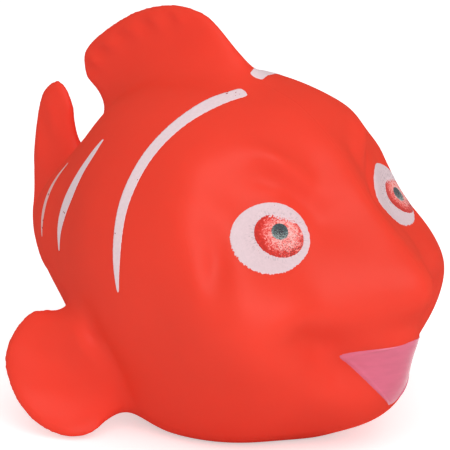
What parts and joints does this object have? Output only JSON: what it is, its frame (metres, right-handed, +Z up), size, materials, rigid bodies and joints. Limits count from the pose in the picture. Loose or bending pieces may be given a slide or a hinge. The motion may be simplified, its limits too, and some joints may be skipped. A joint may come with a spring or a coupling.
{
  "type": "squeaky bath toy",
  "caption": "Hollow soft vinyl bath toy in the shape of a plump striped fish, with a squeaker pressed into its flat base that sounds when the toy is squeezed.",
  "frame": {"origin": "On the ground under the middle of the toy's overall length and width, which is also the squeaker's axis.", "axes": "-Y is where the nose points, +Y the tail, -X the fish's right side, +Z up from the flat base to the top fin."},
  "size_m": [0.082, 0.1101, 0.0878],
  "materials": {
    "soft_vinyl": "satin, rotationally moulded soft vinyl coloured in the mass",
    "squeaker_plastic": "matte, injection moulded",
    "reed_film": "thin stamped film",
    "white_paint": "matte, sprayed through a mask",
    "iris_paint": "matte, mottled",
    "pupil_paint": "matte, speckled",
    "lip_paint": "glossy, brushed or sprayed"
  },
  "bodies": {
    "toy": {"vinyl_body": "soft_vinyl", "squeaker_housing": "squeaker_plastic", "reed_block": "squeaker_plastic", "reed_clamp": "squeaker_plastic", "eye_white_right": "white_paint", "eye_white_left": "white_paint", "iris_right": "iris_paint", "iris_left": "iris_paint", "pupil_right": "pupil_paint", "pupil_left": "pupil_paint", "lip_paint": "lip_paint", "stripe_front_right": "white_paint", "stripe_front_left": "white_paint", "stripe_middle_right": "white_paint", "stripe_middle_left": "white_paint", "stripe_tail_right": "white_paint", "stripe_tail_left": "white_paint"},
    "reed": {"reed": "reed_film"}
  },
  "joints": [
    {"name": "reed_flex", "type": "hinge", "parent": "toy", "child": "reed", "pos_m": [0, 0, 0.00655], "axis": [-1, 0, 0], "range_deg": [-1, 4], "stiffness_Nm_per_rad": 0.0127}
  ]
}
